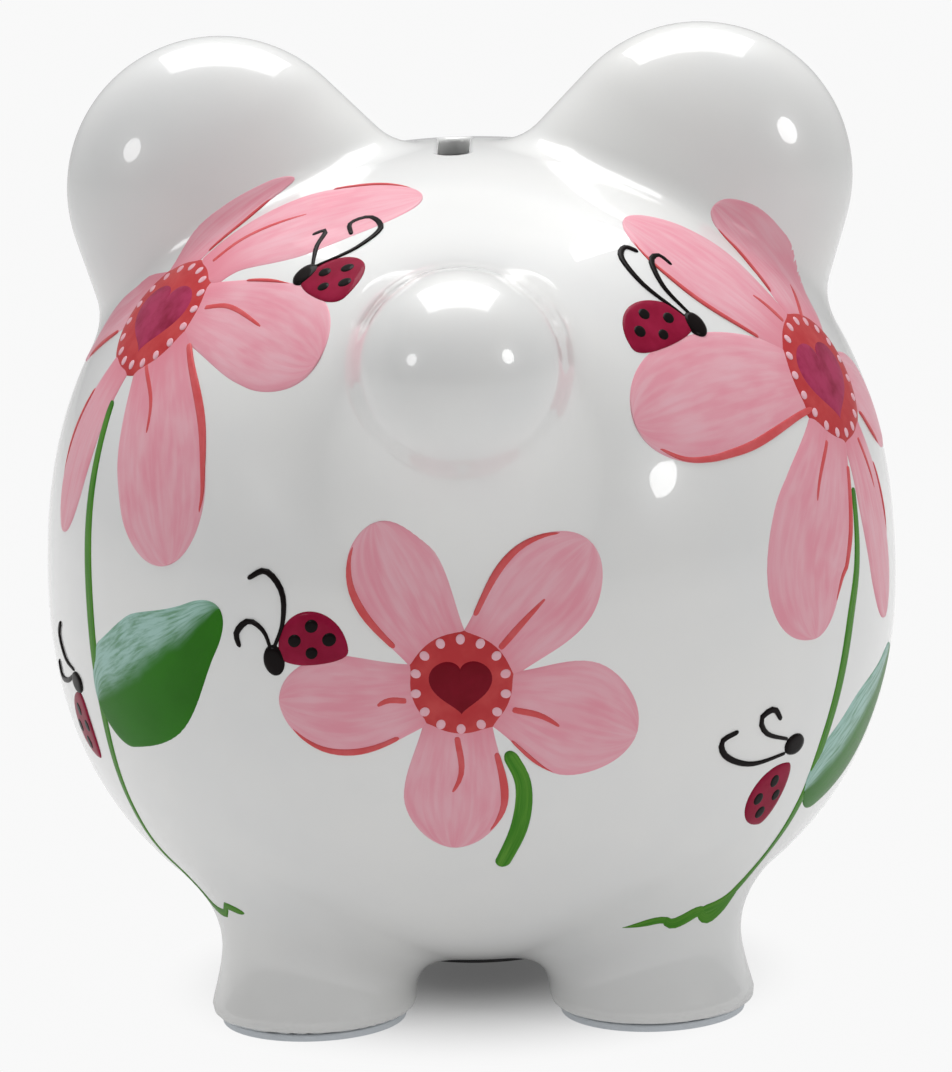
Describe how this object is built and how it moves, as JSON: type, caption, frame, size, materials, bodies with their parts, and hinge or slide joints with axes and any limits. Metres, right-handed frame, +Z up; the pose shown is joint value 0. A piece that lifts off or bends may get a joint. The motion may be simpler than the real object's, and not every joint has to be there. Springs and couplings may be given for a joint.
{
  "type": "piggy bank",
  "caption": "Large hand-painted glazed ceramic piggy bank with fat rounded ears, a blunt snout, a coin slot in its crown and a pull-out stopper in its belly.",
  "frame": {"origin": "centre of the bounding box's footprint, on the surface that the bank stands on", "axes": "+Z up; the snout points along -Y and the curled tail along +Y; +X is at the right hand of somebody who looks the pig in the face"},
  "size_m": [0.1812, 0.2126, 0.2036],
  "materials": {
    "white_glaze": "clear gloss glaze over white earthenware",
    "stopper_rubber": "soft matt moulded rubber",
    "pad_rubber": "milky self-adhesive rubber sheet",
    "petal_enamel": "streaky hand-brushed pink enamel, glossy",
    "coral_enamel": "hand-brushed coral red enamel, glossy",
    "crimson_enamel": "hand-brushed crimson enamel, glossy",
    "leaf_enamel": "streaky hand-brushed green enamel, glossy",
    "black_enamel": "hand-brushed black enamel, glossy"
  },
  "bodies": {
    "bank": {"ceramic_body": "white_glaze", "foot_pad_front_left": "pad_rubber", "foot_pad_front_right": "pad_rubber", "foot_pad_back_left": "pad_rubber", "foot_pad_back_right": "pad_rubber"},
    "stopper": {"stopper": "stopper_rubber"}
  },
  "joints": [
    {"name": "stopper_pull", "type": "slide", "parent": "bank", "child": "stopper", "axis": [0, 0, -1], "range_m": [0, 0.045]}
  ]
}
